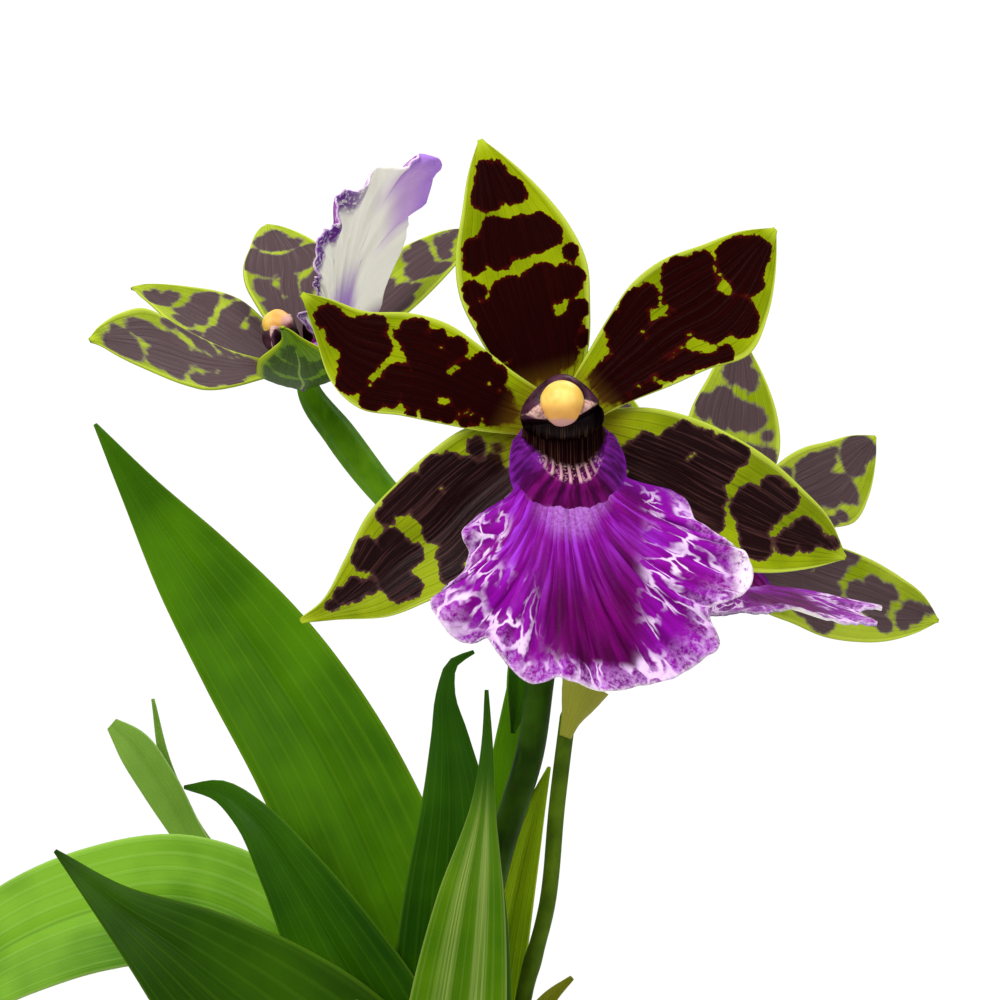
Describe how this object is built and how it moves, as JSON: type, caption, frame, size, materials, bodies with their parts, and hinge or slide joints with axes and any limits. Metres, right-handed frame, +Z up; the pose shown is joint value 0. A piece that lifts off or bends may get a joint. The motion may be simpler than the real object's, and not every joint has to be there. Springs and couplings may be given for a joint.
{
  "type": "zygopetalum orchid in pot",
  "caption": "Potted zygopetalum orchid: strap leaves, blotched green and maroon flowers with wide violet lips on arching stalks, bark in a plain round pot.",
  "frame": {"origin": "centre of the pot's base, on the ground", "axes": "+Z up along the pot's axis; the front flower faces -Y and the arching leaf reaches toward -X"},
  "size_m": [0.1928, 0.1355, 0.3368],
  "materials": {
    "pot_plastic": "satin terracotta-coloured plastic",
    "bark": "rough dry bark chips",
    "rhizome": "dry ringed stem",
    "pseudobulb": "smooth waxy green with faint ribs",
    "leaf": "satin mid green, thin and pliable",
    "bract": "papery straw green",
    "stalk": "satin green, firm and fleshy",
    "sepal_petal": "waxy lime green with near-black maroon blotches",
    "lip": "velvety violet veined with white",
    "callus": "ribbed violet ridge",
    "column": "waxy dark maroon",
    "anther_cap": "waxy cream yellow"
  },
  "bodies": {
    "root": {"pot": "pot_plastic", "potting_bark": "bark", "rhizome": "rhizome", "pseudobulb_middle": "pseudobulb", "pseudobulb_right": "pseudobulb", "pseudobulb_back": "pseudobulb", "leaf_streaked": "leaf", "leaf_front_left": "leaf", "leaf_small": "leaf", "leaf_mid": "leaf", "leaf_hooked": "leaf", "leaf_tall": "leaf", "leaf_right": "leaf", "leaf_behind_lip": "leaf", "leaf_arching": "leaf", "leaf_back": "leaf", "leaf_sliver": "leaf", "leaf_low_right": "leaf", "leaf_low_back": "leaf", "scape_left": "stalk", "scape_right": "stalk", "front_pedicel": "stalk", "left_pedicel": "stalk", "right_pedicel": "stalk", "scape_bract": "bract", "right_flower_bract": "bract", "left_flower_bract": "bract", "front_dorsal_sepal": "sepal_petal", "front_petal_left": "sepal_petal", "front_petal_right": "sepal_petal", "front_lateral_sepal_left": "sepal_petal", "front_lateral_sepal_right": "sepal_petal", "front_lip": "lip", "front_callus": "callus", "front_column": "column", "front_anther_cap": "anther_cap", "left_dorsal_sepal": "sepal_petal", "left_petal_near": "sepal_petal", "left_petal_far": "sepal_petal", "left_lateral_sepal_near": "sepal_petal", "left_lateral_sepal_far": "sepal_petal", "left_lip": "lip", "left_callus": "callus", "left_column": "column", "left_anther_cap": "anther_cap", "right_dorsal_sepal": "sepal_petal", "right_petal_left": "sepal_petal", "right_petal_right": "sepal_petal", "right_lateral_sepal_left": "sepal_petal", "right_lateral_sepal_right": "sepal_petal", "right_lip": "lip", "right_callus": "callus", "right_column": "column", "right_anther_cap": "anther_cap"}
  },
  "joints": []
}
